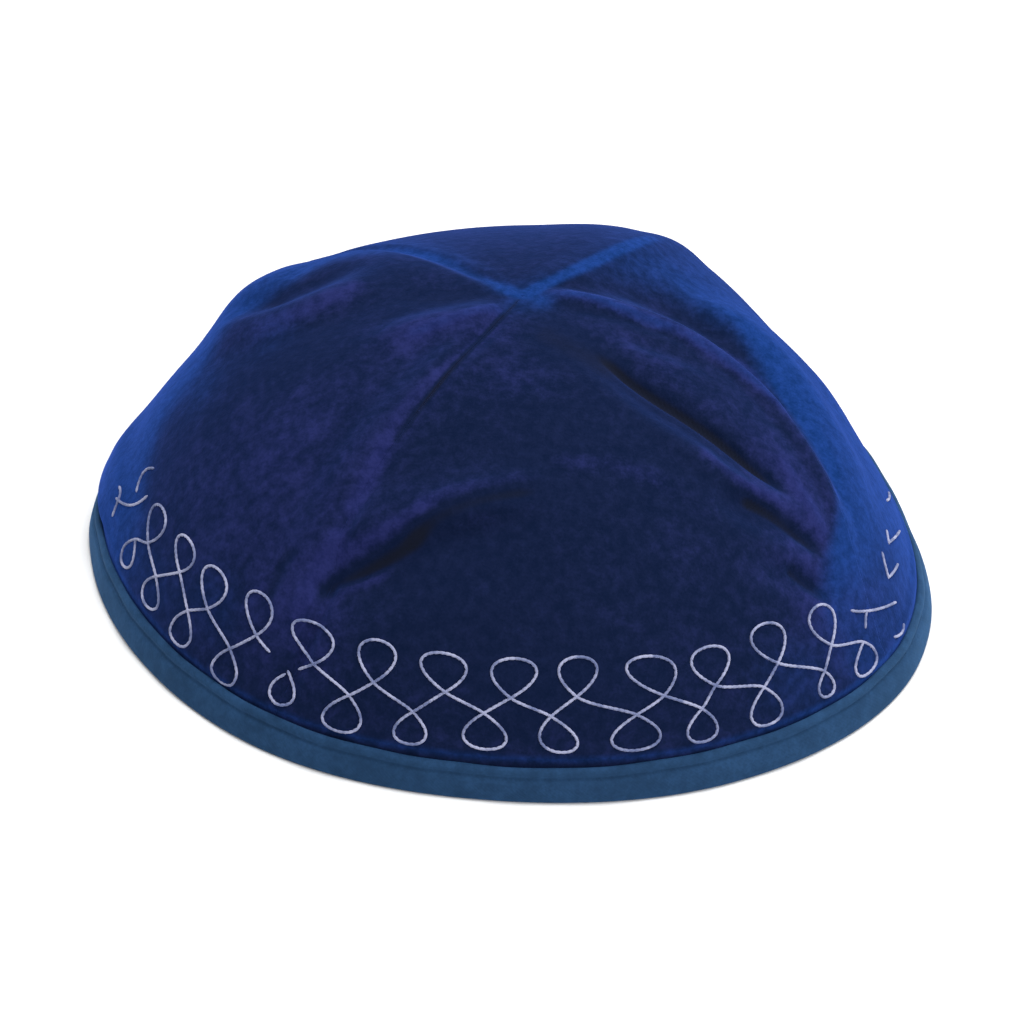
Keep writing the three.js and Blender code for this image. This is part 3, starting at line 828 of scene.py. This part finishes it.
def stitches_along(path):
    """Turn, rise, middle and direction of each stitch, evenly spaced along a path."""
    points = velvet_point(path[:, 0], path[:, 1])
    lift = seam_bridge(path[:, 0], path[:, 1])
    points = points + cloth_normal(path[:, 0], path[:, 1]) * lift[:, None]
    lengths = np.linalg.norm(np.diff(points, axis=0), axis=1)
    along = np.concatenate([[0], np.cumsum(lengths)])
    count = max(1, round(along[-1] / STITCH_PITCH))
    at = (np.arange(count) + 0.5) * along[-1] / count
    turn = np.interp(at, along, path[:, 0])
    rise = np.interp(at, along, path[:, 1])
    ahead = np.stack([np.interp(at + STITCH_REACH, along, part) for part in points.T], -1)
    behind = np.stack([np.interp(at - STITCH_REACH, along, part) for part in points.T], -1)
    direction = ahead - behind
    direction /= np.linalg.norm(direction, axis=1, keepdims=True)
    return turn, rise, (ahead + behind) / 2, direction


def stitch_places():
    """All the stitches: their turn, rise, middle, direction and normal."""
    paths = [looped_path(LOOPS), looped_path(back_loops())]
    paths += [stroke_path(*stroke) for stroke in STROKES]
    turn, rise, middle, direction = [np.concatenate(part) for part in zip(*map(stitches_along, paths))]
    shown = np.ones(len(turn), bool)
    for hidden_turn, hidden_rise, radius in BURIED:
        spot = velvet_point(np.array([hidden_turn]), np.array([hidden_rise]))
        shown &= np.linalg.norm(middle - spot, axis=1) > radius
    turn, rise, middle, direction = [part[shown] for part in (turn, rise, middle, direction)]
    return turn, rise, middle, direction, cloth_normal(turn, rise)


def stitch_shape():
    """One stitch along Z, half a unit wide and long each way, that the embroidery repeats."""
    mesh = bmesh.new()
    bmesh.ops.create_uvsphere(mesh, u_segments=STITCH_SIDES, v_segments=STITCH_RINGS, radius=0.5)
    data = bpy.data.meshes.new("stitch")
    mesh.to_mesh(data)
    mesh.free()
    return data


def embroidery(name, first, following, finish, places):
    """The stitches of one panel, from seam to seam."""
    turn, rise, middle, direction, normal = places
    start = seam_turn(first, rise)
    width = np.mod(seam_turn(following, rise) - start, FULL_TURN)
    from_start = np.mod(turn - start, FULL_TURN)
    here = from_start < width
    middle = middle[here]
    along = direction[here]
    side = np.cross(normal[here], along)
    side /= np.linalg.norm(side, axis=1, keepdims=True)
    up = np.cross(along, side)
    chance = np.random.default_rng(len(middle))
    slant = chance.uniform(-STITCH_SLANT, STITCH_SLANT, (len(middle), 1))
    basis = np.stack([
        (side - along * slant) * THREAD_WIDTH,
        up * THREAD_HEIGHT,
        (along + side * slant) * STITCH_LENGTH,
    ], 1)
    shape = stitch_shape()
    corners = np.array([vertex.co for vertex in shape.vertices])
    points = (corners @ basis) + (middle + up * THREAD_LIFT)[:, None]
    mesh = bmesh.new()
    for stitch in points:
        mesh.from_mesh(shape)
    move(mesh.verts, points.reshape(-1, 3))
    bpy.data.meshes.remove(shape)
    return piece(name, mesh, finish)


# Materials

class Number:
    """A number in a material; Python's operators on it add Math nodes."""

    def __init__(self, finish, socket):
        self.finish = finish
        self.socket = socket

    def math(self, operation, first, second):
        return self.finish.node("ShaderNodeMath", {"operation": operation}, {0: first, 1: second})

    def __add__(self, other):
        return self.math("ADD", self, other)

    def __radd__(self, other):
        return self.math("ADD", other, self)

    def __sub__(self, other):
        return self.math("SUBTRACT", self, other)

    def __rsub__(self, other):
        return self.math("SUBTRACT", other, self)

    def __mul__(self, other):
        return self.math("MULTIPLY", self, other)

    def __rmul__(self, other):
        return self.math("MULTIPLY", other, self)


class Finish:
    """A material and its Principled shader."""

    def __init__(self, name):
        self.material = bpy.data.materials.new(name)
        self.material.use_nodes = True
        self.tree = self.material.node_tree
        self.shader = self.tree.nodes["Principled BSDF"]

    def node(self, kind, settings, inputs, output=0):
        """Adds a node: its settings first, then the values or links of its sockets."""
        node = self.tree.nodes.new(kind)
        for setting, value in settings.items():
            setattr(node, setting, value)
        self.join(node, inputs)
        return Number(self, node.outputs[output])

    def join(self, node, inputs):
        for name, value in inputs.items():
            if isinstance(value, Number):
                self.tree.links.new(value.socket, node.inputs[name])
            else:
                node.inputs[name].default_value = value

    def noise(self, vector, scale, detail=2.0, roughness=0.5):
        inputs = {"Vector": vector, "Scale": scale, "Detail": detail, "Roughness": roughness}
        return self.node("ShaderNodeTexNoise", {}, inputs)

    def attribute(self, name):
        return self.node("ShaderNodeAttribute", {"attribute_name": name}, {}, output=2)

    def spread(self, value, low, high):
        """Stretches the values from low to high over 0 to 1."""
        inputs = {"Value": value, "From Min": low, "From Max": high}
        return self.node("ShaderNodeMapRange", {"interpolation_type": "SMOOTHSTEP"}, inputs)

    def mix(self, share, first, second):
        inputs = {0: share, 6: first, 7: second}
        return self.node("ShaderNodeMix", {"data_type": "RGBA"}, inputs, output=2)

    def bump(self, height, depth, strength=1.0):
        return self.node("ShaderNodeBump", {}, {"Height": height, "Distance": depth, "Strength": strength})

    def shade(self, inputs):
        self.join(self.shader, inputs)
        return self.material


def colour(red, green, blue):
    return (red, green, blue, 1)


def velvet_finish():
    finish = Finish("velvet_pile")
    place = finish.node("ShaderNodeTexCoord", {}, {}, output=3)
    painted_light = finish.attribute("painted_light")
    painted_sheen = finish.attribute("painted_sheen")
    drift = finish.noise(place, 40, 2)
    clouds = finish.noise(place, 130, 3, 0.6)
    patches = finish.noise(place, 480, 2, 0.5)
    grain = finish.noise(place, 1800, 2, 0.6)
    brushed = finish.spread(patches * 0.45 + clouds * 0.2 + grain * 0.35, 0.32, 0.68)
    base = finish.mix(brushed, colour(0.0042, 0.0093, 0.0315), colour(0.0080, 0.0138, 0.0455))
    # A lit, violet copy of the pile's colour: painted highlight, mixed in on the ridges and lit places,
    # with random mottling.
    highlight_violet = finish.mix(brushed, colour(0.0108, 0.0158, 0.076), colour(0.0205, 0.0260, 0.116))
    highlight_and_mottle = painted_light + (clouds - 0.5) * 0.9 + (patches - 0.5) * 0.65 + (grain - 0.5) * 0.3 - 0.06
    base = finish.mix(finish.spread(highlight_and_mottle, -0.2, 0.9), base, highlight_violet)
    # Painted shade: a darker colour mixed in along the creases and shaded places.
    base = finish.mix(finish.spread(0 - painted_light, 0.3, 1.2), base, colour(0.0088, 0.0112, 0.021))
    # Painted sheen: an azure copy of the pile's colour, mixed in on the sides, the seams and the creases.
    blue = finish.mix(brushed, colour(0.0045, 0.025, 0.112), colour(0.0112, 0.043, 0.205))
    base = finish.mix(finish.spread(painted_sheen + (patches - 0.5) * 0.3, 0.0, 1.0), base, blue)
    height = patches * 0.5 + drift * 1.5 + grain * 0.2
    return finish.shade({
        "Base Color": base,
        "Roughness": 0.95,
        "Specular IOR Level": 0.0,
        "Sheen Weight": 1.0,
        "Sheen Roughness": 0.42,
        "Sheen Tint": colour(0.04, 0.085, 0.36),
        "Normal": finish.bump(height, 0.4 * MM, 0.7),
    })


def backing_finish():
    finish = Finish("velvet_backing")
    place = finish.node("ShaderNodeTexCoord", {}, {}, output=3)
    drift = finish.noise(place, 60, 2)
    weave = finish.noise(place, 2200, 1)
    base = finish.mix(drift, colour(0.012, 0.02, 0.07), colour(0.02, 0.034, 0.11))
    return finish.shade({
        "Base Color": base,
        "Roughness": 0.8,
        "Specular IOR Level": 0.3,
        "Normal": finish.bump(weave, 0.15 * MM, 0.6),
    })


def tape_finish():
    finish = Finish("binding_tape")
    place = finish.node("ShaderNodeTexCoord", {}, {}, output=3)
    surface = finish.node("ShaderNodeUVMap", {"uv_map": "surface"}, {})
    scaled = finish.node("ShaderNodeMapping", {}, {"Vector": surface, "Scale": (575, 28, 1)})
    ribs = finish.node(
        "ShaderNodeTexWave", {"wave_type": "BANDS", "bands_direction": "DIAGONAL"},
        {"Vector": scaled, "Scale": 0.7, "Distortion": 0.3}, output=1,
    )
    drift = finish.noise(place, 50, 3)
    patches = finish.noise(place, 350, 3, 0.6)
    grain = finish.noise(place, 1500, 2)
    worn = finish.spread(drift * 0.45 + patches * 0.55, 0.35, 0.65)
    base = finish.mix(worn, colour(0.012, 0.040, 0.098), colour(0.019, 0.060, 0.145))
    base = finish.mix(finish.spread(grain, 0.35, 0.7) * 0.35, base, colour(0.009, 0.032, 0.075))
    return finish.shade({
        "Base Color": base,
        "Roughness": 0.85,
        "Specular IOR Level": 0.1,
        "Sheen Weight": 0.2,
        "Sheen Roughness": 0.5,
        "Sheen Tint": colour(0.1, 0.4, 0.9),
        "Normal": finish.bump(ribs * 0.3 + grain * 0.7, 0.08 * MM, 0.6),
    })


def thread_finish():
    finish = Finish("silver_thread")
    place = finish.node("ShaderNodeTexCoord", {}, {}, output=3)
    drift = finish.noise(place, 260, 2)
    strands = finish.noise(place, 5000, 2)
    base = finish.mix(finish.spread(drift, 0.35, 0.65), colour(0.12, 0.15, 0.30), colour(0.35, 0.37, 0.54))
    return finish.shade({
        "Base Color": base,
        "Roughness": 0.55,
        "Specular IOR Level": 0.3,
        "Sheen Weight": 0.1,
        "Normal": finish.bump(strands, 0.1 * MM, 0.5),
    })


def floor_finish():
    finish = Finish("pale_floor")
    place = finish.node("ShaderNodeTexCoord", {}, {}, output=3)
    drift = finish.noise(place, 3, 2)
    base = finish.mix(drift, colour(0.93, 0.93, 0.93), colour(0.95, 0.95, 0.95))
    return finish.shade({"Base Color": base, "Roughness": 0.9, "Specular IOR Level": 0.1})


# The cap

velvet = velvet_finish()
backing = backing_finish()
tape = tape_finish()
thread = thread_finish()
PANELS = {
    "front": ("front_left", "front_right"),
    "right": ("front_right", "back_right"),
    "back": ("back_right", "back_left"),
    "left": ("back_left", "front_left"),
}
places = stitch_places()
for side, (first, following) in PANELS.items():
    velvet_panel(f"velvet_{side}", f"panel_{side}", first, following, (velvet, backing))
    embroidery(f"embroidery_{side}", first, following, thread, places)
tape_ring("binding", "rim_binding", tape)


# Floor, light and camera

FLOOR_HALF = 8
SKY_STRENGTH = 0.3

# The softboxes: place and size in metres, and power in watts.
SOFTBOXES = [
    ("above", (0.15, 0.35, 1.6), 1.2, 26),
    ("front_above", (0, -0.9, 1.3), 1.0, 4),
    ("right_front", (1.1, -0.9, 0.7), 0.8, 8),
    ("back_right", (1.0, 0.9, 0.5), 0.7, 4),
    ("back_left", (-1.2, 0.5, 0.5), 0.6, 2),
]

# The camera's angles in degrees, its distance and target in millimetres, and its lens.
CAMERA_ELEVATION = 33.6
CAMERA_ROLL = 3.2
CAMERA_DISTANCE = 800
CAMERA_TARGET = Vector((0.4, 0, 8.3))
FOCAL_PIXELS = 3691
FRAME_PIXELS = 1024
SENSOR = 36


def floor():
    mesh = bmesh.new()
    bmesh.ops.create_grid(mesh, x_segments=1, y_segments=1, size=FLOOR_HALF)
    data = bpy.data.meshes.new("floor")
    mesh.to_mesh(data)
    mesh.free()
    data.materials.append(floor_finish())
    made = bpy.data.objects.new("floor", data)
    bpy.context.scene.collection.objects.link(made)


def softbox(name, place, size, power):
    data = bpy.data.lights.new(name, "AREA")
    data.shape = "DISK"
    data.size = size
    data.energy = power
    made = bpy.data.objects.new(name, data)
    made.location = place
    made.rotation_euler = (-Vector(place)).to_track_quat("-Z", "Y").to_euler()
    bpy.context.scene.collection.objects.link(made)


def sky():
    world = bpy.data.worlds.new("studio")
    world.use_nodes = True
    background = world.node_tree.nodes["Background"]
    background.inputs["Color"].default_value = colour(1, 1, 1)
    background.inputs["Strength"].default_value = SKY_STRENGTH
    bpy.context.scene.world = world


def camera():
    elevation = math.radians(CAMERA_ELEVATION)
    back = Vector((0, -math.cos(elevation), math.sin(elevation)))
    data = bpy.data.cameras.new("camera")
    data.sensor_width = SENSOR
    data.lens = FOCAL_PIXELS / FRAME_PIXELS * SENSOR
    data.clip_start = 0.01
    data.clip_end = 50
    made = bpy.data.objects.new("camera", data)
    right = Vector((1, 0, 0))
    up = back.cross(right)
    turned = Matrix((right, up, back)).transposed() @ Matrix.Rotation(math.radians(CAMERA_ROLL), 3, "Z")
    made.matrix_world = Matrix.Translation((CAMERA_TARGET + back * CAMERA_DISTANCE) * MM) @ turned.to_4x4()
    bpy.context.scene.collection.objects.link(made)
    bpy.context.scene.camera = made


floor()
sky()
for softbox_values in SOFTBOXES:
    softbox(*softbox_values)
camera()
bpy.context.scene.view_settings.view_transform = "Standard"
